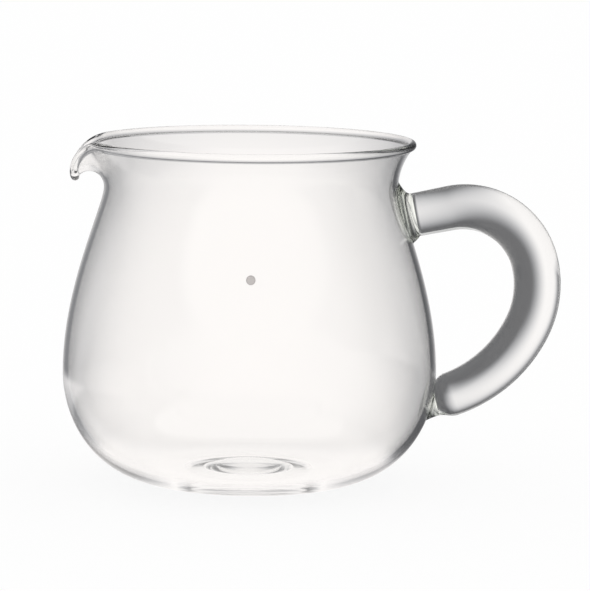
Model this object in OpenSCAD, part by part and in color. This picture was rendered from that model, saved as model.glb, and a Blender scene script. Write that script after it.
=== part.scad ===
// A blown glass pitcher: a round-bellied jug with a pulled spout, a bent glass rod for a handle,
// the two rings of fused glass that join the rod to the wall, and one enamel dot as a fill mark.
// Z points up from the table, the spout points to -X, the handle to +X and the dot faces -Y.
// The origin is on the jug's axis, at the level of the table. Lengths are in millimetres.

/* [Bowl] */
// Widest diameter of the bowl
belly_d = 92.6; // [84:0.2:104]
// Height of the widest level above the table
belly_z = 27.5; // [25:0.1:31]
// Outer diameter of the flat ring that the jug stands on
foot_d = 37; // [35:0.5:44]
// Diameter of the middle of the base, inside that flat ring
punt_d = 32; // [26:0.2:34]
// Height that the middle of the base is pushed up
punt_h = 1.6; // [0.6:0.1:1.8]
// Outside diameter of the waist under the lip
waist_d = 72.5; // [68:0.1:78]
// Height of the waist above the table
waist_z = 73.3; // [69:0.1:82]
// Thickness of the blown wall
wall = 1.3; // [1:0.1:1.8]
// Thickness of the glass over the flat ring
base_t = 2; // [1.8:0.1:3]
// Diameter of the low dome in the middle of the bottom inside
dome_d = 22.4; // [20:0.2:26]
// Height of that dome
dome_h = 2.2; // [0.6:0.1:2.6]

/* [Lip and spout] */
// Length of the flared lip from the waist to its edge
lip_len = 11.8; // [9:0.1:14]
// Angle that the lip leans outwards at its edge
lip_lean = 40; // [25:1:48]
// Thickness of the round bead that fire polishing leaves along the edge
lip_bead = 2.1; // [1.9:0.1:2.6]
// Length of the lip at the middle of the spout
spout_len = 10.9; // [9:0.1:12]
// Angle that the lip is rolled over at the middle of the spout
spout_roll = 148; // [120:1:155]
// Angle round the jug from the middle of the spout to its shoulder
spout_spread = 9.5; // [8:0.5:12]

/* [Handle] */
// Diameter of the glass rod at its ends
rod_d = 10.8; // [9.5:0.1:12]
// How much thicker the rod is at the outside of the loop
rod_swell = 0.8; // [0:0.1:1]
// Depth of the rod's upper end below the waist
rod_top_depth = 6.4; // [5.3:0.1:11]
// Angle that the rod climbs as it leaves its upper end
rod_climb = 11.6; // [0:0.2:20]
// Length of the straight stretch at the rod's upper end
rod_straight = 8.6; // [4:0.1:10]
// Height of the rod's lower end
rod_low_z = 21; // [18:0.1:24]
// Angle that the rod still falls as it comes to its lower end
rod_fall = 13.6; // [10:0.2:22]
// How much thinner the rod is drawn at its lower end
rod_pinch = 1.1; // [0:0.1:1.6]
// Length of the rod that is drawn thinner
pinch_len = 3.8; // [2:0.1:6]
// Radius of the rod's centre line at the outside of the loop
bend_r = 24; // [19:0.5:27]
// Gap between the wall and the rod's upper end, which the upper weld fills
weld_gap_top = 2.8; // [2:0.1:5]
// Gap between the wall and the rod's lower end, which the lower weld fills
weld_gap_low = 0.7; // [0.5:0.1:2]
// Width that the upper weld spreads on the wall above the rod
weld_rise_top = 3.7; // [1:0.1:4]
// Width that the upper weld spreads on the wall below the rod
weld_drop_top = 1.5; // [0.8:0.1:2]
// Width that the lower weld spreads on the wall above the rod
weld_rise_low = 0.4; // [0.2:0.1:1.5]
// Width that the lower weld spreads on the wall below the rod
weld_drop_low = 0.6; // [0.3:0.1:1.5]

/* [Fill mark] */
// Diameter of the dot
dot_d = 2.2; // [1.6:0.1:3]
// Height of the dot's centre above the table
dot_z = 55.6; // [48:0.1:60]
// Angle round the jug from its front to the dot, towards the handle
dot_turn = 0.9; // [-10:0.1:10]
// Thickness of the fired enamel
dot_t = 0.15; // [0.1:0.05:0.3]

/* [Hidden] */

// Pull of the heel's curve along the table and down the wall, as shares of its width and height
heel_shares = [0.76, 0.4];
// Pull of the shoulder's curve at the belly and at the waist, as shares of its height
shoulder_shares = [0.463, 0.106];
// Points in each curve of the outline
heel_steps = 22;
shoulder_steps = 26;
dome_steps = 8;
// Points round the lip, along it and round its bead
lip_around = 96;
lip_steps = 10;
bead_steps = 8;
// Share by which the points round the lip are drawn in towards the spout
crowd_share = 0.5;
// Step in the wall where the spouted lip stands on the round bowl, so that its many flat sides fit
seam_step = 0.06;
// Turn of the rod's heading at the start of the bend and at its end, from level
bend_from = -76.4;
bend_to = -115.4;
// Sides of the rod, and the turn between its rings
rod_sides = 28;
rod_turn_step = 6;
// Powers of a weld's curve above and below the rod, where 1 is a straight cone
curve_top = [2.4, 0.8];
curve_low = [1.5, 1.5];
// Steps of the weld's curve, its sides, and length by which it runs into the wall before it is cut
weld_steps = 8;
weld_sides = 48;
weld_run_in = 9;

belly_r = belly_d / 2;
foot_r = foot_d / 2;
punt_r = punt_d / 2;
dome_r = dome_d / 2;
waist_r = waist_d / 2;
rod_r = rod_d / 2;
rod_top_z = waist_z - rod_top_depth;

// A point at share t along the cubic curve with the four control points in c, and its direction there
function curve_at(c, t) =
    pow(1 - t, 3) * c[0] + 3 * pow(1 - t, 2) * t * c[1] + 3 * (1 - t) * t * t * c[2] + pow(t, 3) * c[3];
function curve_dir(c, t) =
    pow(1 - t, 2) * (c[1] - c[0]) + 2 * (1 - t) * t * (c[2] - c[1]) + t * t * (c[3] - c[2]);
function unit(v) = v / norm(v);
// The direction turned a quarter turn to the left: from an outline that climbs, into the glass
function left_of(v) = [-v[1], v[0]];
// A share that eases from 0 to 1
function ease(t) = let (u = min(max(t, 0), 1)) u * u * (3 - 2 * u);

// The outside of the bowl, from the flat ring up to the belly and on to the waist
heel = [
    [foot_r, 0],
    [foot_r + heel_shares[0] * (belly_r - foot_r), 0],
    [belly_r, belly_z * (1 - heel_shares[1])],
    [belly_r, belly_z]
];
shoulder = [
    [belly_r, belly_z],
    [belly_r, belly_z + shoulder_shares[0] * (waist_z - belly_z)],
    [waist_r, waist_z - shoulder_shares[1] * (waist_z - belly_z)],
    [waist_r, waist_z]
];
heel_out = [for (i = [0:heel_steps - 1]) curve_at(heel, i / heel_steps)];
shoulder_out = [for (i = [0:shoulder_steps]) curve_at(shoulder, i / shoulder_steps)];
bowl_out = concat(heel_out, shoulder_out);

// The inside is the outside moved in by the wall, which thickens down the heel to the base
function heel_wall(t) = wall + (base_t - wall) * pow(1 - t, 2);
heel_in = [
    for (i = [0:heel_steps - 1])
        let (t = i / heel_steps)
        curve_at(heel, t) + heel_wall(t) * left_of(unit(curve_dir(heel, t)))
];
shoulder_in = [
    for (i = [0:shoulder_steps])
        let (t = i / shoulder_steps)
        curve_at(shoulder, t) + wall * left_of(unit(curve_dir(shoulder, t)))
];
bowl_in = concat(heel_in, shoulder_in);

// The pushed-up middle of the base and the dome inside it, both parabolas, from the axis outwards
function low_dome(wide_r, high, lift) = [
    for (i = [0:dome_steps]) let (k = i / dome_steps) [wide_r * k, lift + high * (1 - k * k)]
];
punt_out = low_dome(punt_r, punt_h, 0);
dome_in = low_dome(dome_r, dome_h, base_t);

// Radius of the outside of the bowl at height z
function wall_r(z) = lookup(z, [for (p = bowl_out) [p[1], p[0]]]);

// The middle of the lip's wall: an arc that starts upright at the waist
// Round the jug its bend and its length go from the lip's to the spout's by a bell curve, here k
function bell(a) = exp(-pow(a / spout_spread, 2));
function lip_bend(k) = lip_lean + (spout_roll - lip_lean) * k;
function lip_middle(k, s) =
    let (bend = lip_bend(k), r = (lip_len + (spout_len - lip_len) * k) / (bend * PI / 180))
    [waist_r - wall / 2 + r * (1 - cos(bend * s)), waist_z + r * sin(bend * s)];
// A point of the lip's skin, at share s along it and at angle q from the way it runs
function lip_point(k, s, q) =
    let (lean = lip_bend(k) * s, h = s == 1 ? lip_bead / 2 : wall / 2 - (s == 0 ? seam_step : 0))
    lip_middle(k, s) + h * [sin(lean - q), cos(lean - q)];
// The notch where the round bead meets the wall: its angle, and the share of the lip that it leaves
notch = asin(wall / lip_bead);
wall_share = 1 - lip_bead / 2 * cos(notch) / lip_len;

module lip_solid() {
    rows = concat(
        [for (i = [0:lip_steps - 1]) [wall_share * i / lip_steps, -90]],
        [for (i = [0:bead_steps]) [1, (notch - 180) * (1 - 2 * i / bead_steps)]],
        [for (i = [lip_steps - 1:-1:0]) [wall_share * i / lip_steps, 90]]
    );
    count = len(rows);
    // Angle from the middle of the spout, drawn in towards it
    around = [
        for (i = [0:lip_around - 1])
            let (t = 2 * i / lip_around - 1)
            180 * t - crowd_share * 180 / PI * sin(180 * t)
    ];
    points = [
        for (a = around, row = rows)
            let (p = lip_point(bell(a), row[0], row[1]))
            [-p[0] * cos(a), -p[0] * sin(a), p[1]]
    ];
    faces = [
        for (i = [0:lip_around - 1], j = [0:count - 1])
            let (i2 = (i + 1) % lip_around, j2 = (j + 1) % count)
            each [
                [i * count + j, i2 * count + j2, i2 * count + j],
                [i * count + j, i * count + j2, i2 * count + j2]
            ]
    ];
    polyhedron(points, faces);
}

module bowl_solid() {
    rotate_extrude($fn = 96)
        polygon(concat(punt_out, bowl_out, [for (i = [len(bowl_in) - 1:-1:0]) bowl_in[i]],
            [for (i = [dome_steps:-1:0]) dome_in[i]]));
}

// The space inside the jug's outer skin, grown by a thickness, without the spout
module envelope(grown) {
    lip_out = [for (i = [1:lip_steps]) lip_point(0, wall_share * i / lip_steps, -90)];
    skin = concat(
        [for (p = bowl_out) p + [grown, 0]],
        [for (p = lip_out) p + [grown, 0]]
    );
    rotate_extrude($fn = 96)
        polygon(concat([[0, 0]], skin, [[0, skin[len(skin) - 1][1]]]));
}

module body() {
    color([0.86, 0.88, 0.88, 0.45]) {
        bowl_solid();
        lip_solid();
    }
}

// The rod's centre line in the XZ plane: a straight stretch and then three clockwise arcs
rod_start = [wall_r(rod_top_z) + weld_gap_top, rod_top_z];
rod_end = [wall_r(rod_low_z) + weld_gap_low, rod_low_z];
headings = [rod_climb, bend_from, bend_to, rod_fall - 180];
// Travel of a clockwise arc of radius 1 between two headings
function arc_travel(from, to) = [sin(from) - sin(to), cos(to) - cos(from)];
function cross_of(a, b) = a[0] * b[1] - a[1] * b[0];
travel = [for (i = [0:2]) arc_travel(headings[i], headings[i + 1])];
// The first and last radius follow from where the rod has to end
first_corner = rod_start + rod_straight * [cos(rod_climb), sin(rod_climb)];
rest = rod_end - first_corner - bend_r * travel[1];
radii = [
    cross_of(rest, travel[2]) / cross_of(travel[0], travel[2]),
    bend_r,
    cross_of(travel[0], rest) / cross_of(travel[0], travel[2])
];
second_corner = first_corner + radii[0] * travel[0];
corners = [first_corner, second_corner, second_corner + bend_r * travel[1]];
// Points of the centre line on arc i after its first, each as its X and Z and the heading there
function arc_points(i) =
    let (steps = ceil((headings[i] - headings[i + 1]) / rod_turn_step))
    [
        for (k = [1:steps])
            let (
                h = headings[i] + (headings[i + 1] - headings[i]) * k / steps,
                p = corners[i] + radii[i] * arc_travel(headings[i], h)
            )
            [p[0], p[1], h]
    ];
rod_path = concat(
    [[rod_start[0], rod_start[1], rod_climb]],
    [[first_corner[0], first_corner[1], rod_climb]],
    arc_points(0),
    arc_points(1),
    arc_points(2)
);

// Length along the centre line up to each of its points
rod_run = [
    for (k = 0, s = 0; k < len(rod_path);
        s = s + (k + 1 < len(rod_path) ? norm(xz(rod_path[k + 1]) - xz(rod_path[k])) : 0), k = k + 1) s
];
function xz(p) = [p[0], p[1]];

// Faces of a closed skin over rings of points, each with the same number of sides
function loft_faces(rings, sides) = concat(
    [
        for (k = [0:rings - 2], j = [0:sides - 1])
            let (j2 = (j + 1) % sides, near = k * sides, far = near + sides)
            each [[near + j, near + j2, far + j2], [near + j, far + j2, far + j]]
    ],
    [[for (j = [sides - 1:-1:0]) j], [for (j = [0:sides - 1]) (rings - 1) * sides + j]]
);

module handle() {
    last = len(rod_path) - 1;
    length = rod_run[last];
    points = [
        for (k = [0:last], j = [0:rod_sides - 1])
            let (
                p = rod_path[k],
                q = 360 * j / rod_sides,
                thinner = rod_pinch * ease(1 - (length - rod_run[k]) / pinch_len),
                r = rod_r + rod_swell / 2 * sin(180 * rod_run[k] / length) - thinner
            )
            [p[0] - r * cos(q) * sin(p[2]), r * sin(q), p[1] + r * cos(q) * cos(p[2])]
    ];
    color([0.80, 0.82, 0.82, 0.6])
        difference() {
            polyhedron(points, loft_faces(last + 1, rod_sides));
            envelope(0);
        }
}

// Places children, drawn along +X, at a point of the XZ plane and turned to a heading
module at_heading(p, heading) {
    translate([p[0], 0, p[1]]) rotate([0, -heading, 0]) children();
}

// A ring of fused glass that runs along +X from inside the wall to the end of the rod at the origin
// Its spread goes from rise above the rod to drop below it, and the power of its curve by curve
module weld(gap, start_r, rise, drop, curve) {
    rings = concat([1], [for (i = [0:weld_steps]) 1 - i / weld_steps]);
    points = [
        for (k = [0:len(rings) - 1], j = [0:weld_sides - 1])
            let (
                q = 360 * j / weld_sides,
                high = (1 + cos(q)) / 2,
                spread = drop + (rise - drop) * high * high,
                r = start_r + spread * pow(rings[k], curve[1] + (curve[0] - curve[1]) * high)
            )
            [-gap * rings[k] - (k == 0 ? weld_run_in : 0), r * sin(q), r * cos(q)]
    ];
    polyhedron(points, loft_faces(len(rings), weld_sides));
}

module upper_weld() {
    color([0.72, 0.78, 0.70, 0.6])
        difference() {
            at_heading(rod_start, rod_climb)
                weld(weld_gap_top, rod_r, weld_rise_top, weld_drop_top, curve_top);
            envelope(0);
        }
}

module lower_weld() {
    color([0.74, 0.78, 0.74, 0.6])
        difference() {
            at_heading(rod_end, rod_fall)
                weld(weld_gap_low, rod_r - rod_pinch, weld_rise_low, weld_drop_low, curve_low);
            envelope(0);
        }
}

module fill_mark() {
    color([0.77, 0.75, 0.74])
        difference() {
            intersection() {
                rotate([0, 0, dot_turn])
                    translate([0, 0, dot_z])
                        rotate([90, 0, 0]) cylinder(d = dot_d, h = belly_d, $fn = 48);
                envelope(dot_t);
            }
            envelope(0);
        }
}

body();
handle();
upper_weld();
lower_weld();
fill_mark();
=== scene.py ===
"""A blown glass pitcher: bowl with a pulled spout, rod handle, two fused welds and one enamel dot.

Each piece is a surface worked out on a grid with numpy. It stands for the solid of the same name in
the packed frame. Angles round the jug are counted from the middle of the spout, which points to -X.
"""

import math

import bpy
import numpy as np
from bpy.props import FloatProperty, FloatVectorProperty, PointerProperty
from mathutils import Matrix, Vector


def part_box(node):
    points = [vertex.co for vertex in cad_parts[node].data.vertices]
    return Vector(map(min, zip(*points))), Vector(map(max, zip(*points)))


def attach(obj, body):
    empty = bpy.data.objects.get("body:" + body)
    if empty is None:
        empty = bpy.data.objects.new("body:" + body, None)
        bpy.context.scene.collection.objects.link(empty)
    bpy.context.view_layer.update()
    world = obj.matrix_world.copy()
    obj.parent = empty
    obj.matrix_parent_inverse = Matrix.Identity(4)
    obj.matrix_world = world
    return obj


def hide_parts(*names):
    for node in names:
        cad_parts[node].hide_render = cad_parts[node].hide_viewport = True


bl_info = {
    "name": "Glass Pitcher",
    "version": (1, 0, 0),
    "blender": (4, 5, 0),
    "location": "3D View > Sidebar > Pitcher",
    "description": "Builds a blown glass pitcher with a rod handle in a small light tent",
    "category": "Add Mesh",
}

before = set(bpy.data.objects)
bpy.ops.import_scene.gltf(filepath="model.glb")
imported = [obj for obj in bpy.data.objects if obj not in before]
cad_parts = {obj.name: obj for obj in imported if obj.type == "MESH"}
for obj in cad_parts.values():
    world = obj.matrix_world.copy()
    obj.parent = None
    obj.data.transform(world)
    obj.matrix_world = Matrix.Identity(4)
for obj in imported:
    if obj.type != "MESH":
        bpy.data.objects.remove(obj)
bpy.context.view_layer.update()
BODY_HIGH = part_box("body")[1]

MM = 0.001
# Longer side of the photograph in pixels, which the camera's sensor spans
PHOTO_HEIGHT = 591
# Limit of a ray's bounces, because it crosses many layers of glass
LIGHT_BOUNCES = 40


def length(name, text, default):
    """A property for a length in metres."""
    return FloatProperty(name=name, description=text, default=default, unit="LENGTH", precision=5)


def turn(name, text, degrees):
    """A property for an angle, written in degrees."""
    return FloatProperty(name=name, description=text, default=math.radians(degrees), unit="ROTATION")


def share(name, text, default, high=1.0):
    """A property for a plain number."""
    return FloatProperty(name=name, description=text, default=default, min=0.0, max=high)


def colour(name, text, default):
    """A property for a linear colour."""
    return FloatVectorProperty(
        name=name, description=text, default=default, subtype="COLOR", size=3, min=0, max=1)


class BowlSizes(bpy.types.PropertyGroup):
    """Sizes of the blown bowl."""

    belly_radius: length("Belly radius", "Outside radius at the widest level", BODY_HIGH.y)
    belly_height: length("Belly height", "Height of the widest level", 27.5 * MM)
    foot_radius: length("Foot radius", "Outer radius of the flat ring it stands on", 18.5 * MM)
    punt_radius: length("Punt radius", "Radius of the pushed-up middle of the base", 16.0 * MM)
    punt_height: length("Punt height", "Height that the middle of the base is pushed up", 1.6 * MM)
    dome_radius: length("Dome radius", "Radius of the low dome in the middle of the bottom inside", 11.2 * MM)
    dome_height: length("Dome height", "Height of that dome", 2.2 * MM)
    waist_radius: length("Waist radius", "Outside radius of the waist under the lip", 36.25 * MM)
    waist_height: length("Waist height", "Height of the waist", 73.3 * MM)
    wall: length("Wall", "Thickness of the blown wall", 1.3 * MM)
    base: length("Base", "Thickness of the glass over the flat ring", 2.0 * MM)


class LipSizes(bpy.types.PropertyGroup):
    """Sizes of the flared lip and the pulled spout."""

    length: length("Length", "Length of the lip from the waist to its edge", 11.8 * MM)
    lean: turn("Lean", "Angle that the lip leans outwards at its edge", 40)
    bead: length("Bead", "Thickness of the round bead that fire polishing leaves along the edge", 2.1 * MM)
    spout: length("Spout length", "Length of the lip at the middle of the spout", 10.9 * MM)
    roll: turn("Spout roll", "Angle that the lip is rolled over at the middle of the spout", 148)
    spread: turn("Spout spread", "Angle round the jug from the middle of the spout to its shoulder", 9.5)


class RodSizes(bpy.types.PropertyGroup):
    """Sizes of the bent rod and its welds."""

    radius: length("Radius", "Radius of the rod at its ends", 5.4 * MM)
    swell: length("Swell", "How much thicker the rod is at the outside of the loop", 0.8 * MM)
    top_height: length("Top height", "Height of the rod's upper end", 66.9 * MM)
    climb: turn("Climb", "Angle that the rod climbs as it leaves its upper end", 11.6)
    straight: length("Straight", "Straight stretch at the upper end", 8.6 * MM)
    low_height: length("Low height", "Height of the rod's lower end", 21.0 * MM)
    fall: turn("Fall", "Angle that the rod still falls at its lower end", 13.6)
    pinch: length("Pinch", "How much smaller the rod's radius is at its lower end", 1.1 * MM)
    pinch_length: length("Pinch length", "Length of the rod that is drawn thinner", 3.8 * MM)
    bend: length("Bend", "Radius of the centre line at the outside of the loop", 24.0 * MM)
    bend_from: turn("Bend from", "Heading where the outer bend starts", -76.4)
    bend_to: turn("Bend to", "Heading where the outer bend ends", -115.4)
    top_gap: length("Top gap", "Gap from the wall that the upper weld fills", 2.8 * MM)
    low_gap: length("Low gap", "Gap from the wall that the lower weld fills", 0.7 * MM)
    top_rise: length("Top rise", "Width that the upper weld spreads above the rod", 3.7 * MM)
    top_drop: length("Top drop", "Width that the upper weld spreads below the rod", 1.5 * MM)
    low_rise: length("Low rise", "Width that the lower weld spreads above the rod", 0.4 * MM)
    low_drop: length("Low drop", "Width that the lower weld spreads below the rod", 0.6 * MM)
    fuse: length("Fuse", "Depth by which the fused pieces run into each other", 0.08 * MM)


class MarkSizes(bpy.types.PropertyGroup):
    """Size, place and colour of the enamel dot."""

    radius: length("Radius", "Radius of the dot", 1.1 * MM)
    height: length("Height", "Height of the dot's centre", 55.6 * MM)
    turn: turn("Turn", "Angle round the jug from its front to the dot, towards the handle", 0.9)
    film: length("Film", "Thickness of the fired enamel", 0.15 * MM)
    enamel: colour("Enamel", "Colour of the enamel", (0.535, 0.503, 0.488))


class GlassLook(bpy.types.PropertyGroup):
    """Finish of the glass."""

    clear: colour("Clear", "Tint of the thin blown wall", (0.99, 0.99, 0.985))
    rod: colour("Rod", "Tint of the solid rod", (0.975, 0.98, 0.975))
    thick: colour("Thick", "Green that the thick fused glass takes", (0.95, 0.975, 0.93))
    ior: share("IOR", "Refractive index", 1.47, 3.0)
    ripple: share("Ripple", "Strength of the ripple that the blowing leaves", 0.02)


class StageSizes(bpy.types.PropertyGroup):
    """The floor, the light tent and the camera."""

    tent_radius: length("Tent radius", "Radius of the light tent", 206 * MM)
    tent_height: length("Tent height", "Height of the light tent", 260 * MM)
    band_width: length("Band width", "Distance from the band's middle to its edge at the jug", 43.5 * MM)
    band_spread: share("Band spread", "How much the band's edge moves out for each step along it", 0.18)
    band_side: length("Band side", "Place of the band's middle to the right of the axis", -3 * MM)
    band_height: length("Band height", "Height at which the band of light fades on the tent", 117 * MM)
    bright: share("Bright", "Glow of the band of light", 1.01, 2.0)
    dim: share("Dim", "Glow beside the band, where it is dimmest", 0.113, 2.0)
    front: share("Front", "Glow beside the band, where it is brightest", 0.965, 2.0)
    dim_at: turn("Dim at", "Direction about which the tent is dim, counted from +X towards +Y", 65)
    bright_tint: colour("Bright tint", "Colour of the light where it is bright", (1.0, 0.974, 0.962))
    dim_tint: colour("Dim tint", "Colour of the light where it is dim", (0.933, 0.949, 1.0))
    ceiling: share("Ceiling", "Glow of the studio above the tent", 0.65, 2.0)
    camera_side: length("Camera side", "Place of the camera to the right of the axis", 11.1 * MM)
    camera_back: length("Camera back", "Distance of the camera before the axis", 870 * MM)
    camera_height: length("Camera height", "Height of the camera", 165.0 * MM)
    camera_pitch: turn("Camera pitch", "Angle that the camera looks down", 7.76)
    camera_roll: turn("Camera roll", "Angle that the camera is rolled to its left", 0.62)
    lens_pixels: share("Lens", "Focal length in pixels of the photograph", 3546.0, 10000.0)


# ---------------------------------------------------------------- meshes


def make_mesh(name, points, faces):
    """An object at the origin from an array of points and lists of faces, shaded smooth."""
    mesh = bpy.data.meshes.new(name)
    mesh.from_pydata(points.reshape(-1, 3).tolist(), [], faces)
    mesh.polygons.foreach_set("use_smooth", np.ones(len(mesh.polygons), dtype=bool))
    mesh.update()
    thing = bpy.data.objects.new(name, mesh)
    bpy.context.scene.collection.objects.link(thing)
    return thing


def closed_surface(name, grid):
    """A closed skin from a grid of rows by columns.

    Each row is a ring, joined to the next one by quads. The first and the last row shrink to one
    point each, which is the mean of the row, and close the skin by a fan of triangles.
    """
    rows, columns = grid.shape[:2]
    rings = grid[1:-1].reshape(-1, 3)
    points = np.concatenate([rings, grid[:1].mean(axis=1), grid[-1:].mean(axis=1)])
    start, end = len(rings), len(rings) + 1
    here = np.arange(columns)
    after = (here + 1) % columns
    row = (np.arange(rows - 3) * columns)[:, None]
    quads = np.stack([row + here, row + after, row + columns + after, row + columns + here], axis=-1)
    last = (rows - 3) * columns
    first_fan = np.stack([np.full(columns, start), after, here], axis=-1)
    last_fan = np.stack([last + here, last + after, np.full(columns, end)], axis=-1)
    faces = quads.reshape(-1, 4).tolist() + first_fan.tolist() + last_fan.tolist()
    return make_mesh(name, points, faces)


def round_sheet(name, radii, heights, columns, filled=False):
    """A sheet about the axis: rings of the given radii and heights, each joined to the next one by
    quads, and the first one filled by one flat face where asked."""
    q = np.linspace(0, 2 * np.pi, columns, endpoint=False)
    radius, height = np.array(radii)[:, None], np.array(heights)[:, None]
    grid = np.stack([radius * np.cos(q), radius * np.sin(q), height + 0 * q], axis=-1)
    here = np.arange(columns)
    after = (here + 1) % columns
    row = (np.arange(len(radii) - 1) * columns)[:, None]
    quads = np.stack([row + here, row + columns + here, row + columns + after, row + after], axis=-1)
    middle = [here.tolist()] if filled else []
    return make_mesh(name, grid, middle + quads.reshape(-1, 4).tolist())


def cubic(points, t):
    """Points at shares t along a Bezier cubic with four control points, and the unit directions there."""
    a, b, c, d = (np.array(point) for point in points)
    t = t[:, None]
    place = (1 - t) ** 3 * a + 3 * (1 - t) ** 2 * t * b + 3 * (1 - t) * t**2 * c + t**3 * d
    travel = (1 - t) ** 2 * (b - a) + 2 * (1 - t) * t * (c - b) + t**2 * (d - c)
    return place, travel / np.linalg.norm(travel, axis=1, keepdims=True)


def left_of(direction):
    """A direction turned a quarter turn to the left: from an outline that climbs, into the glass."""
    return np.stack([-direction[:, 1], direction[:, 0]], axis=1)


def ease(t):
    """A share that eases from 0 to 1."""
    t = np.clip(t, 0, 1)
    return t * t * (3 - 2 * t)


# Pull of the heel's curve along the table and down the wall, as shares of its width and height
HEEL_SHARES = (0.76, 0.4)
# Pull of the shoulder's curve at the belly and at the waist, as shares of its height
SHOULDER_SHARES = (0.463, 0.106)
# Powers of a weld's curve above and below the rod, where 1 is a straight cone
TOP_CURVES = (2.4, 0.8)
LOW_CURVES = (1.5, 1.5)


def bowl_outline(bowl, heel_rows=36, shoulder_rows=46):
    """The bowl's outside and inside as radius and height, from the flat ring up to the waist.

    The heel and the shoulder are two cubics that meet upright at the belly. The inside is the outside
    moved in by the wall, and down the heel by the wall plus the rest of the base times (1 - t) squared.
    """
    rise = bowl.waist_height - bowl.belly_height
    heel = (
        (bowl.foot_radius, 0),
        (bowl.foot_radius + HEEL_SHARES[0] * (bowl.belly_radius - bowl.foot_radius), 0),
        (bowl.belly_radius, bowl.belly_height * (1 - HEEL_SHARES[1])),
        (bowl.belly_radius, bowl.belly_height),
    )
    shoulder = (
        (bowl.belly_radius, bowl.belly_height),
        (bowl.belly_radius, bowl.belly_height + SHOULDER_SHARES[0] * rise),
        (bowl.waist_radius, bowl.waist_height - SHOULDER_SHARES[1] * rise),
        (bowl.waist_radius, bowl.waist_height),
    )
    t = np.linspace(0, 1, heel_rows, endpoint=False)
    heel_out, heel_way = cubic(heel, t)
    shoulder_out, shoulder_way = cubic(shoulder, np.linspace(0, 1, shoulder_rows))
    heel_wall = bowl.wall + (bowl.base - bowl.wall) * (1 - t) ** 2
    outside = np.concatenate([heel_out, shoulder_out])
    inside = np.concatenate([
        heel_out + heel_wall[:, None] * left_of(heel_way),
        shoulder_out + bowl.wall * left_of(shoulder_way),
    ])
    return outside, inside


def low_dome(wide, high, lift, rows=13, soft=0.3 * MM):
    """A low dome as radius and height, from the axis outwards: a parabola and the start of the flat
    round it, which keeps its smooth shading to a narrow edge."""
    k = np.linspace(0, 1, rows)
    dome = np.stack([wide * k, lift + high * (1 - k**2)], axis=1)
    return np.concatenate([dome, [[wide + soft, lift]]])


def lip_skin(bowl, lip, angle, along, side, half):
    """The lip's skin as radius and height.

    The middle of its wall is an arc that starts upright at the waist. Round the jug its bend goes from
    the lean to the spout's roll, and its length to the spout's, by a bell curve about the spout. The
    skin lies at distance half from it, at an angle of side from the way it runs.
    """
    bell = np.exp(-((angle / lip.spread) ** 2))[None, :]
    bend = lip.lean + (lip.roll - lip.lean) * bell
    radius = (lip.length + (lip.spout - lip.length) * bell) / bend
    along, side, half = along[:, None], side[:, None], half[:, None]
    lean = bend * along
    middle_r = bowl.waist_radius - bowl.wall / 2 + radius * (1 - np.cos(lean))
    middle_z = bowl.waist_height + radius * np.sin(lean)
    return middle_r + half * np.sin(lean - side), middle_z + half * np.cos(lean - side)


def bowl_grid(bowl, lip, columns=360, lip_rows=22, bead_rows=25, crowd=0.5):
    """The whole blown vessel as one skin: rows run from the middle of the base up the outside, round
    the bead along the lip's edge and down the inside; columns run round, drawn in towards the spout."""
    t = np.linspace(-1, 1, columns, endpoint=False)
    angle = np.pi * t - crowd * np.sin(np.pi * t)
    outside, inside = bowl_outline(bowl)
    under = low_dome(bowl.punt_radius, bowl.punt_height, 0)
    over = low_dome(bowl.dome_radius, bowl.dome_height, bowl.base)
    notch = math.asin(bowl.wall / lip.bead)
    last = 1 - lip.bead / 2 * math.cos(notch) / lip.length
    along = last * np.linspace(0, 1, lip_rows + 1)[1:-1]
    climb = np.concatenate([along, np.ones(bead_rows), along[::-1]])
    flank = np.full(len(along), np.pi / 2)
    side = np.concatenate([-flank, np.linspace(notch - np.pi, np.pi - notch, bead_rows), flank])
    half = np.where(climb < 1, bowl.wall / 2, lip.bead / 2)
    lip_r, lip_z = lip_skin(bowl, lip, angle, climb, side, half)
    before = np.concatenate([under, outside])
    after = np.concatenate([inside[::-1], over[::-1]])
    wide = np.ones(columns)
    radius = np.concatenate([before[:, :1] * wide, lip_r, after[:, :1] * wide])
    height = np.concatenate([before[:, 1:] * wide, lip_z, after[:, 1:] * wide])
    return np.stack([-radius * np.cos(angle), -radius * np.sin(angle), height], axis=-1)


def wall_radius(bowl, height):
    """Outside radius of the bowl at a height, by linear steps along its outline."""
    outside = bowl_outline(bowl)[0]
    return np.interp(height, outside[:, 1], outside[:, 0])


def outside_wall(bowl, fuse, grid):
    """The grid with points that lie deep in the wall drawn out to the fuse depth under its skin."""
    span = np.hypot(grid[..., 0], grid[..., 1])
    least = wall_radius(bowl, grid[..., 2]) - fuse
    grow = np.maximum(1, least / span)
    return grid * np.stack([grow, grow, np.ones_like(grow)], axis=-1)


def heading(angle):
    """The unit vector in the XZ plane at an angle from +X."""
    return np.array([math.cos(angle), math.sin(angle)])


def arc_travel(start, end):
    """Travel along a clockwise arc of radius 1 between two headings."""
    return np.stack([np.sin(start) - np.sin(end), np.cos(end) - np.cos(start)], axis=-1)


def rod_ends(bowl, rod):
    """The two ends of the rod's centre line in the XZ plane."""
    top = np.array([wall_radius(bowl, rod.top_height) + rod.top_gap, rod.top_height])
    low = np.array([wall_radius(bowl, rod.low_height) + rod.low_gap, rod.low_height])
    return top, low


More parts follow.
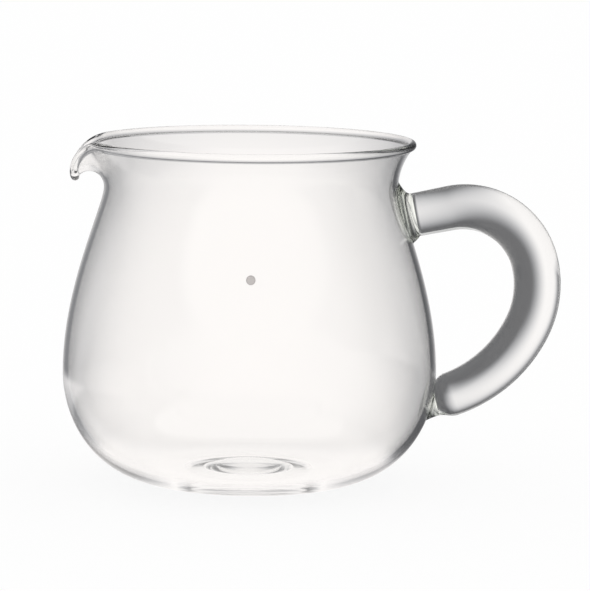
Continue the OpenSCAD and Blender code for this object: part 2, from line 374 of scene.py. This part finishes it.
def rod_line(bowl, rod, straight_rows=12, step=math.radians(1.5)):
    """The rod's centre line in the XZ plane and its headings: a straight stretch and three clockwise
    arcs. The radii of the first and the last arc follow from where the rod has to end."""
    top, low = rod_ends(bowl, rod)
    turns = [rod.climb, rod.bend_from, rod.bend_to, rod.fall - math.pi]
    travel = [arc_travel(turns[i], turns[i + 1]) for i in range(3)]
    corner = top + rod.straight * heading(rod.climb)
    rest = low - corner - rod.bend * travel[1]
    first, last = np.linalg.solve(np.stack([travel[0], travel[2]], axis=1), rest)
    shares = np.linspace(0, 1, straight_rows, endpoint=False)[:, None]
    places, ways = [top + shares * (corner - top)], [np.full(straight_rows, rod.climb)]
    for arc, radius in enumerate((first, rod.bend, last)):
        start, end = turns[arc], turns[arc + 1]
        # Only the first arc keeps the point that it starts from, which the line doesn't have yet
        way = np.linspace(start, end, max(2, round((start - end) / step)))[min(arc, 1) :]
        places.append(corner + radius * arc_travel(start, way))
        ways.append(way)
        corner = corner + radius * arc_travel(start, end)
    return np.concatenate(places), np.concatenate(ways)


def tube(places, ways, radii, columns):
    """Rings about a line in the XZ plane, each square to the heading there."""
    q = np.linspace(0, 2 * np.pi, columns, endpoint=False)
    outward = np.stack([
        -np.sin(ways)[:, None] * np.cos(q),
        -np.sin(q) * np.ones((len(ways), 1)),
        np.cos(ways)[:, None] * np.cos(q),
    ], axis=-1)
    centre = np.stack([places[:, 0], np.zeros(len(places)), places[:, 1]], axis=-1)
    return centre[:, None] + radii[:, None, None] * outward


def rod_grid(bowl, rod, columns=96):
    """The solid rod: rings along its centre line, whose radius swells by half a sine wave and eases
    down at the lower end, with a flat disc at each end that runs a little into the weld."""
    places, ways = rod_line(bowl, rod)
    steps = np.linalg.norm(np.diff(places, axis=0), axis=1)
    along = np.concatenate([[0], np.cumsum(steps)])
    left = 1 - (along[-1] - along) / rod.pinch_length
    radii = rod.radius + rod.swell / 2 * np.sin(np.pi * along / along[-1]) - rod.pinch * ease(left)
    first = places[:1] - rod.fuse * heading(ways[0])
    last = places[-1:] + rod.fuse * heading(ways[-1])
    places = np.concatenate([first, first, places[1:-1], last, last])
    ways = np.concatenate([ways[:1], ways, ways[-1:]])
    radii = np.concatenate([[0], radii, [0]])
    return outside_wall(bowl, rod.fuse, tube(places, ways, radii, columns))


def weld_grid(bowl, rod, end, angle, start, rise, drop, curves, columns=96, rows=26, cap_rows=14,
              crowd=1.4, deepest=12 * MM, halvings=30):
    """A ring of fused glass from the rod's end to the wall.

    Seen along the rod's axis, a point of the skin lies at the rod's radius plus spread times share to a
    power, where share runs from 0 at the rod to 1 at the wall, by even steps to the power crowd. Round
    the ring the spread goes from rise at the top to drop at the bottom, and the power between the two
    curves. The wall is met where the line along the axis through that radius reaches the outline, less
    the fuse depth.
    """
    q = np.linspace(0, 2 * np.pi, columns, endpoint=False)
    high = (1 + np.cos(q)) / 2
    spread = drop + (rise - drop) * high**2
    power = curves[1] + (curves[0] - curves[1]) * high
    axis = np.array([math.cos(angle), 0, math.sin(angle)])
    up = np.array([-math.sin(angle), 0, math.cos(angle)])
    centre = np.array([end[0], 0, end[1]])

    def ring(radius):
        """Points round the rod's axis, from the top of the ring towards +Y."""
        return radius[..., None] * (np.cos(q)[:, None] * up + np.array([0, 1, 0]) * np.sin(q)[:, None])

    def reach(radius):
        """Depth from the rod's end back to the wall, by halving, for rings of the given radius."""
        near, far = np.zeros(radius.shape), np.full(radius.shape, deepest)
        for _ in range(halvings):
            middle = (near + far) / 2
            point = centre + ring(radius) - middle[..., None] * axis
            gap = np.hypot(point[..., 0], point[..., 1]) - wall_radius(bowl, point[..., 2])
            near, far = np.where(gap > -rod.fuse, middle, near), np.where(gap > -rod.fuse, far, middle)
        return middle

    rim = (start + spread)[None, :]
    depth = reach(rim)
    shares = np.linspace(0, 1, rows)[:, None] ** crowd
    skin = start + spread * shares**power
    skirt = centre + ring(skin) - (shares * depth)[..., None] * axis
    inner = np.linspace(1, 0, cap_rows)[1:, None] * rim
    cap = centre + ring(inner) - reach(inner)[..., None] * axis
    first = centre + ring(0 * rim)
    return outside_wall(bowl, rod.fuse, np.concatenate([first, skirt, cap]))


def mark_grid(bowl, mark, columns=72, rows=10, rim=6, sink=0.01 * MM):
    """A round film on the wall, whose rows run out over its front and back in under it.

    It follows the wall's radius at each height, and lies deeper by the small length sink. The front
    stands out by the film's thickness times the root of 1 - share to the power rim, where share is the
    part of the dot's radius, so that the rim is rolled.
    """
    q = np.linspace(0, 2 * np.pi, columns, endpoint=False)
    shares = np.linspace(0, 1, rows)
    out = np.concatenate([shares, shares[-2::-1]])
    rise = np.concatenate([np.sqrt(1 - shares**rim), np.zeros(rows - 1)])
    radius = mark.radius * out[:, None]
    height = mark.height + radius * np.sin(q)
    across = radius * np.cos(q)
    skin = wall_radius(bowl, height) + (mark.film * rise - sink)[:, None]
    facing = mark.turn + across / skin
    return np.stack([skin * np.sin(facing), -skin * np.cos(facing), height], axis=-1)[:, ::-1]


# ------------------------------------------------------------- materials


def new_material(name):
    """A node material, with its nodes, its links and its Principled shader."""
    material = bpy.data.materials.new(name)
    material.use_nodes = True
    nodes, links = material.node_tree.nodes, material.node_tree.links
    return material, nodes, links, nodes["Principled BSDF"]


def group_of(name, inputs, outputs):
    """An empty shader node group with named float inputs (name, default) and outputs (name, type)."""
    group = bpy.data.node_groups.new(name, "ShaderNodeTree")
    for title, default in inputs:
        socket = group.interface.new_socket(title, in_out="INPUT", socket_type="NodeSocketFloat")
        socket.default_value = default
    for title, kind in outputs:
        group.interface.new_socket(title, in_out="OUTPUT", socket_type=kind)
    return group, group.nodes.new("NodeGroupInput"), group.nodes.new("NodeGroupOutput")


def blown_ripple():
    """Group: the slow ripple of worked glass, as a height that runs in long soft streaks up the wall."""
    if "Blown ripple" in bpy.data.node_groups:
        return bpy.data.node_groups["Blown ripple"]
    group, given, result = group_of(
        "Blown ripple", [("Across", 60.0), ("Up", 14.0)], [("Height", "NodeSocketFloat")])
    nodes, links = group.nodes, group.links
    place = nodes.new("ShaderNodeTexCoord")
    scale = nodes.new("ShaderNodeCombineXYZ")
    stretch = nodes.new("ShaderNodeVectorMath")
    stretch.operation = "MULTIPLY"
    noise = nodes.new("ShaderNodeTexNoise")
    noise.inputs["Scale"].default_value = 1.0
    noise.inputs["Detail"].default_value = 1.0
    noise.inputs["Roughness"].default_value = 0.4
    links.new(given.outputs["Across"], scale.inputs["X"])
    links.new(given.outputs["Across"], scale.inputs["Y"])
    links.new(given.outputs["Up"], scale.inputs["Z"])
    links.new(place.outputs["Object"], stretch.inputs[0])
    links.new(scale.outputs[0], stretch.inputs[1])
    links.new(stretch.outputs[0], noise.inputs["Vector"])
    links.new(noise.outputs["Fac"], result.inputs["Height"])
    return group


def glass(name, tint, look, across, up):
    """Clear glass: smooth, fully transmitting, with the ripple of its making in the normal, which has
    the given number of waves to the metre across the piece and up it."""
    material, nodes, links, shader = new_material(name)
    shader.inputs["Base Color"].default_value = (*tint, 1)
    shader.inputs["Roughness"].default_value = 0.0
    shader.inputs["IOR"].default_value = look.ior
    shader.inputs["Transmission Weight"].default_value = 1.0
    height = nodes.new("ShaderNodeGroup")
    height.node_tree = blown_ripple()
    height.inputs["Across"].default_value = across
    height.inputs["Up"].default_value = up
    bump = nodes.new("ShaderNodeBump")
    bump.inputs["Strength"].default_value = look.ripple
    bump.inputs["Distance"].default_value = 1 * MM
    links.new(height.outputs["Height"], bump.inputs["Height"])
    links.new(bump.outputs["Normal"], shader.inputs["Normal"])
    return material


# Colours of the enamel's dark and light specks, as shares of its own colour
SPECK_SHARES = (0.86, 1.12)


def enamel(mark):
    """Fired enamel: pale warm grey with fine specks, satin and slightly uneven."""
    material, nodes, links, shader = new_material("Dot enamel")
    place = nodes.new("ShaderNodeTexCoord")
    noise = nodes.new("ShaderNodeTexNoise")
    noise.inputs["Scale"].default_value = 2600.0
    noise.inputs["Detail"].default_value = 2.0
    ramp = nodes.new("ShaderNodeValToRGB")
    for speck, times in zip(ramp.color_ramp.elements, SPECK_SHARES):
        speck.color = (*[min(1, c * times) for c in mark.enamel], 1)
    bump = nodes.new("ShaderNodeBump")
    bump.inputs["Strength"].default_value = 0.15
    bump.inputs["Distance"].default_value = 0.02 * MM
    links.new(place.outputs["Object"], noise.inputs["Vector"])
    links.new(noise.outputs["Fac"], ramp.inputs["Fac"])
    links.new(ramp.outputs["Color"], shader.inputs["Base Color"])
    links.new(noise.outputs["Fac"], bump.inputs["Height"])
    links.new(bump.outputs["Normal"], shader.inputs["Normal"])
    shader.inputs["Roughness"].default_value = 0.45
    return material


def math_node(nodes, links, operation, *values):
    """A Math node whose inputs are numbers or sockets; returns its output socket."""
    node = nodes.new("ShaderNodeMath")
    node.operation = operation
    for socket, value in zip(node.inputs, values):
        if isinstance(value, (int, float)):
            socket.default_value = value
        else:
            links.new(value, socket)
    return node.outputs[0]


def smooth_node(nodes, links, value, places, shares=(0.0, 1.0)):
    """A Map Range node that goes smoothly from the first share to the second between two places;
    returns its output socket."""
    node = nodes.new("ShaderNodeMapRange")
    node.interpolation_type = "SMOOTHSTEP"
    links.new(value, node.inputs["Value"])
    for title, number in zip(("From Min", "From Max", "To Min", "To Max"), (*places, *shares)):
        node.inputs[title].default_value = number
    return node.outputs[0]


# Softness of the band's edge as shares of its width: at the jug, and what it gains out to the tent
EDGE_SHARES = (0.13, 0.5)
# Turns off the dimmest direction between which the light beside the band rises
DIM_TURNS = (math.radians(60), math.radians(135))
# The lit part of the floor: the places between which it ends, going right, and starts, going back, the
# distances from the origin between which it fades, and its shares of the light there
LIT_RIGHT = (-120 * MM, -20 * MM)
LIT_BACK = (10 * MM, 60 * MM)
LIT_FADE = (150 * MM, 210 * MM)
LIT_SHARES = (0.8, 0.15)
# The dimmer part on either side of the jug: its share of the light, and the distances from the origin
# between which it ends, along the band and across it
FLANK_SHARE = 0.55
FLANK_ALONG = (20 * MM, 60 * MM)
FLANK_ACROSS = (110 * MM, 170 * MM)


def tent_light(stage):
    """Group: the light that glass sees at a place on the floor or the tent, from three levels of it.

    A band of light runs under the jug from front to back. Outwards it gets wider and its edge gets
    softer, and it fades with the height on the tent. Beside it the light is dimmest at the back on the
    handle's side, and rises round to the front. A part of the floor at the back on the spout's side is
    lit too, and a part on either side of the jug is dimmer.
    """
    if "Tent light" in bpy.data.node_groups:
        return bpy.data.node_groups["Tent light"]
    group, given, result = group_of(
        "Tent light", [("Bright", 1.0), ("Dim", 0.1), ("Front", 1.0)], [("Glow", "NodeSocketColor")])
    nodes, links = group.nodes, group.links
    bright, dim, front = (given.outputs[title] for title in ("Bright", "Dim", "Front"))

    def math_of(operation, *values):
        return math_node(nodes, links, operation, *values)

    def smooth(value, *ranges):
        return smooth_node(nodes, links, value, *ranges)

    place = nodes.new("ShaderNodeTexCoord").outputs["Object"]
    parts = nodes.new("ShaderNodeSeparateXYZ")
    links.new(place, parts.inputs[0])
    x, y, z = parts.outputs
    along, aside = math_of("ABSOLUTE", y), math_of("ABSOLUTE", x)

    # 0 in the band and 1 beside it or over it
    width = math_of("MULTIPLY_ADD", along, stage.band_spread, stage.band_width)
    across = math_of("DIVIDE", math_of("SUBTRACT", x, stage.band_side), width)
    up = math_of("DIVIDE", z, stage.band_height)
    squares = math_of("ADD", math_of("MULTIPLY", across, across), math_of("MULTIPLY", up, up))
    soft = math_of("MULTIPLY_ADD", along, EDGE_SHARES[1] / stage.tent_radius, EDGE_SHARES[0])
    past_edge = math_of("DIVIDE", math_of("SUBTRACT", math_of("SQRT", squares), 1.0), soft)
    off_band = smooth(past_edge, (-1.0, 1.0))

    # 0 about the dimmest direction and 1 about the front
    turned = nodes.new("ShaderNodeVectorRotate")
    turned.rotation_type = "Z_AXIS"
    turned.inputs["Angle"].default_value = -stage.dim_at
    links.new(place, turned.inputs["Vector"])
    flat = nodes.new("ShaderNodeSeparateXYZ")
    links.new(turned.outputs[0], flat.inputs[0])
    off_dim = math_of("ABSOLUTE", math_of("ARCTAN2", flat.outputs["Y"], flat.outputs["X"]))
    around = smooth(off_dim, DIM_TURNS)

    # The lit part of the floor, and the dimmer part on either side of the jug
    away = nodes.new("ShaderNodeVectorMath")
    away.operation = "LENGTH"
    links.new(place, away.inputs[0])
    corner = math_of("MULTIPLY", smooth(x, LIT_RIGHT, (1.0, 0.0)), smooth(y, LIT_BACK))
    lit = math_of("MULTIPLY", smooth(away.outputs["Value"], LIT_FADE, LIT_SHARES), corner)
    before = smooth(along, FLANK_ALONG, (FLANK_SHARE, 1.0))
    flank = math_of("MAXIMUM", before, smooth(aside, FLANK_ACROSS))

    share_lit = math_of("MULTIPLY", math_of("MAXIMUM", around, lit), flank)
    beside = math_of("MULTIPLY_ADD", share_lit, math_of("SUBTRACT", front, dim), dim)
    light = math_of("MULTIPLY_ADD", math_of("SUBTRACT", beside, bright), off_band, bright)
    tint = nodes.new("ShaderNodeMix")
    tint.data_type = "RGBA"
    tint.inputs["A"].default_value = (*stage.dim_tint, 1)
    tint.inputs["B"].default_value = (*stage.bright_tint, 1)
    links.new(light, tint.inputs["Factor"])
    tinted = nodes.new("ShaderNodeVectorMath")
    tinted.operation = "SCALE"
    links.new(tint.outputs["Result"], tinted.inputs[0])
    links.new(light, tinted.inputs["Scale"])
    links.new(tinted.outputs[0], result.inputs["Glow"])
    return group


def glowing(nodes, links, stage):
    """A shader that glows with the tent's light; returns its output socket."""
    light = nodes.new("ShaderNodeGroup")
    light.node_tree = tent_light(stage)
    for title, level in (("Bright", stage.bright), ("Dim", stage.dim), ("Front", stage.front)):
        light.inputs[title].default_value = level
    glow = nodes.new("ShaderNodeEmission")
    links.new(light.outputs["Glow"], glow.inputs["Color"])
    return glow.outputs[0]


def seen_in_glass(nodes, links):
    """A socket that is 1 where glass shows the place, through itself or as a reflection, and else 0."""
    path = nodes.new("ShaderNodeLightPath")
    return math_node(
        nodes, links, "MAXIMUM", path.outputs["Is Transmission Ray"], path.outputs["Is Glossy Ray"])


def tent_cloth(stage):
    """The tent's cloth, which glows by itself."""
    material, nodes, links, shader = new_material("Tent cloth")
    nodes.remove(shader)
    links.new(glowing(nodes, links, stage), nodes["Material Output"].inputs["Surface"])
    return material


# Share of plain white in the floor that the camera sees; the rest is paper, which takes the shadow
WHITE_SHARE = 0.9


def floor_paper(stage):
    """White paper. The camera sees it white with the jug's faint shadow, and glass sees it glow."""
    material, nodes, links, shader = new_material("Floor paper")
    nodes.remove(shader)
    paper = nodes.new("ShaderNodeBsdfDiffuse")
    paper.inputs["Color"].default_value = (0.95, 0.95, 0.95, 1)
    white = nodes.new("ShaderNodeEmission")
    white.inputs["Color"].default_value = (1, 1, 1, 1)
    shown = nodes.new("ShaderNodeMixShader")
    shown.inputs[0].default_value = WHITE_SHARE
    links.new(paper.outputs[0], shown.inputs[1])
    links.new(white.outputs[0], shown.inputs[2])
    pick = nodes.new("ShaderNodeMixShader")
    links.new(seen_in_glass(nodes, links), pick.inputs[0])
    links.new(shown.outputs[0], pick.inputs[1])
    links.new(glowing(nodes, links, stage), pick.inputs[2])
    links.new(pick.outputs[0], nodes["Material Output"].inputs["Surface"])
    return material


# -------------------------------------------------------------- operators


def place_piece(thing, node, material):
    """Gives a piece its material and lets it stand for its CAD node."""
    thing.data.materials.append(material)
    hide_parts(node)
    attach(thing, "root")
    return {"FINISHED"}


class JUG_OT_stage(bpy.types.Operator):
    """Lay the floor, put up the light tent and set the world and the camera"""

    bl_idname = "jug.stage"
    bl_label = "Stage"

    def execute(self, context):
        stage = context.scene.jug_stage
        self.floor(stage)
        self.tent(stage)
        self.world(context, stage)
        self.camera(context, stage)
        context.scene.view_settings.view_transform = "Standard"
        paths = context.scene.cycles
        paths.max_bounces = paths.transmission_bounces = paths.glossy_bounces = LIGHT_BOUNCES
        return {"FINISHED"}

    def floor(self, stage, radii=(0.2, 1.0, 12.0), under=0.15 * MM):
        """A large round sheet a hair under the jug."""
        sheet = round_sheet("floor", radii, [-under] * len(radii), 96, filled=True)
        sheet.data.materials.append(floor_paper(stage))

    def tent(self, stage, under=1 * MM):
        """An upright ring of cloth round the jug, from under the floor, which only glass shows."""
        cloth = round_sheet("tent", [stage.tent_radius] * 2, [-under, stage.tent_height], 256)
        cloth.data.materials.append(tent_cloth(stage))
        cloth.visible_camera = cloth.visible_diffuse = cloth.visible_shadow = False

    def world(self, context, stage):
        """White for the camera and for matt surfaces; a dim studio where glass looks up past the tent."""
        world = bpy.data.worlds.new("Studio")
        context.scene.world = world
        world.use_nodes = True
        nodes, links = world.node_tree.nodes, world.node_tree.links
        background = nodes["Background"]
        strength = math_node(
            nodes, links, "MULTIPLY_ADD", seen_in_glass(nodes, links), stage.ceiling - 1.0, 1.0)
        background.inputs["Color"].default_value = (1, 1, 1, 1)
        links.new(strength, background.inputs["Strength"])

    def camera(self, context, stage):
        """The photograph's view, from its fitted place and focal length."""
        data = bpy.data.cameras.new("camera")
        data.sensor_width = 36.0
        data.lens = stage.lens_pixels * data.sensor_width / PHOTO_HEIGHT
        data.clip_start, data.clip_end = 0.05, 50.0
        camera = bpy.data.objects.new("camera", data)
        camera.location = (stage.camera_side, -stage.camera_back, stage.camera_height)
        camera.rotation_euler = (math.pi / 2 - stage.camera_pitch, 0, stage.camera_roll)
        camera.rotation_mode = "ZXY"
        context.scene.collection.objects.link(camera)
        context.scene.camera = camera


class JUG_OT_body(bpy.types.Operator):
    """Blow the bowl with its lip and spout"""

    bl_idname = "jug.body"
    bl_label = "Body"

    def execute(self, context):
        scene = context.scene
        piece = closed_surface("bowl", bowl_grid(scene.jug_bowl, scene.jug_lip))
        material = glass("Blown glass", scene.jug_look.clear, scene.jug_look, across=60.0, up=14.0)
        return place_piece(piece, "body", material)


class JUG_OT_handle(bpy.types.Operator):
    """Bend the rod for the handle"""

    bl_idname = "jug.handle"
    bl_label = "Handle"

    def execute(self, context):
        scene = context.scene
        piece = closed_surface("rod_handle", rod_grid(scene.jug_bowl, scene.jug_rod))
        material = glass("Rod glass", scene.jug_look.rod, scene.jug_look, across=45.0, up=45.0)
        return place_piece(piece, "handle", material)


class JUG_OT_welds(bpy.types.Operator):
    """Fuse the rod's two ends to the wall"""

    bl_idname = "jug.welds"
    bl_label = "Welds"

    def execute(self, context):
        scene = context.scene
        bowl, rod, look = scene.jug_bowl, scene.jug_rod, scene.jug_look
        top, low = rod_ends(bowl, rod)
        material = glass("Fused glass", look.thick, look, across=90.0, up=90.0)
        upper = closed_surface("weld_upper", weld_grid(
            bowl, rod, top, rod.climb, rod.radius, rod.top_rise, rod.top_drop, TOP_CURVES))
        lower = closed_surface("weld_lower", weld_grid(
            bowl, rod, low, rod.fall, rod.radius - rod.pinch, rod.low_rise, rod.low_drop, LOW_CURVES))
        place_piece(upper, "upper_weld", material)
        return place_piece(lower, "lower_weld", material)


class JUG_OT_mark(bpy.types.Operator):
    """Fire the enamel dot on the wall"""

    bl_idname = "jug.mark"
    bl_label = "Fill mark"

    def execute(self, context):
        scene = context.scene
        piece = closed_surface("dot", mark_grid(scene.jug_bowl, scene.jug_mark))
        return place_piece(piece, "fill_mark", enamel(scene.jug_mark))


class JUG_PT_panel(bpy.types.Panel):
    """The pitcher's steps, in order, and the sizes and colours that they use"""

    bl_idname = "JUG_PT_panel"
    bl_label = "Glass Pitcher"
    bl_space_type = "VIEW_3D"
    bl_region_type = "UI"
    bl_category = "Pitcher"

    def draw(self, context):
        for step in OPERATORS:
            self.layout.operator(step.bl_idname)
        for name, kind in GROUPS.items():
            box = self.layout.box()
            box.label(text=kind.__doc__)
            for size in kind.__annotations__:
                box.prop(getattr(context.scene, name), size)


GROUPS = {
    "jug_bowl": BowlSizes,
    "jug_lip": LipSizes,
    "jug_rod": RodSizes,
    "jug_mark": MarkSizes,
    "jug_look": GlassLook,
    "jug_stage": StageSizes,
}
OPERATORS = (JUG_OT_stage, JUG_OT_body, JUG_OT_handle, JUG_OT_welds, JUG_OT_mark)


def register():
    for kind in (*GROUPS.values(), *OPERATORS, JUG_PT_panel):
        bpy.utils.register_class(kind)
    for name, kind in GROUPS.items():
        setattr(bpy.types.Scene, name, PointerProperty(type=kind))


def unregister():
    for name in GROUPS:
        delattr(bpy.types.Scene, name)
    for kind in (JUG_PT_panel, *reversed(OPERATORS), *GROUPS.values()):
        bpy.utils.unregister_class(kind)


def main():
    register()
    bpy.ops.jug.stage()
    bpy.ops.jug.body()
    bpy.ops.jug.handle()
    bpy.ops.jug.welds()
    bpy.ops.jug.mark()


if __name__ == "__main__":
    main()
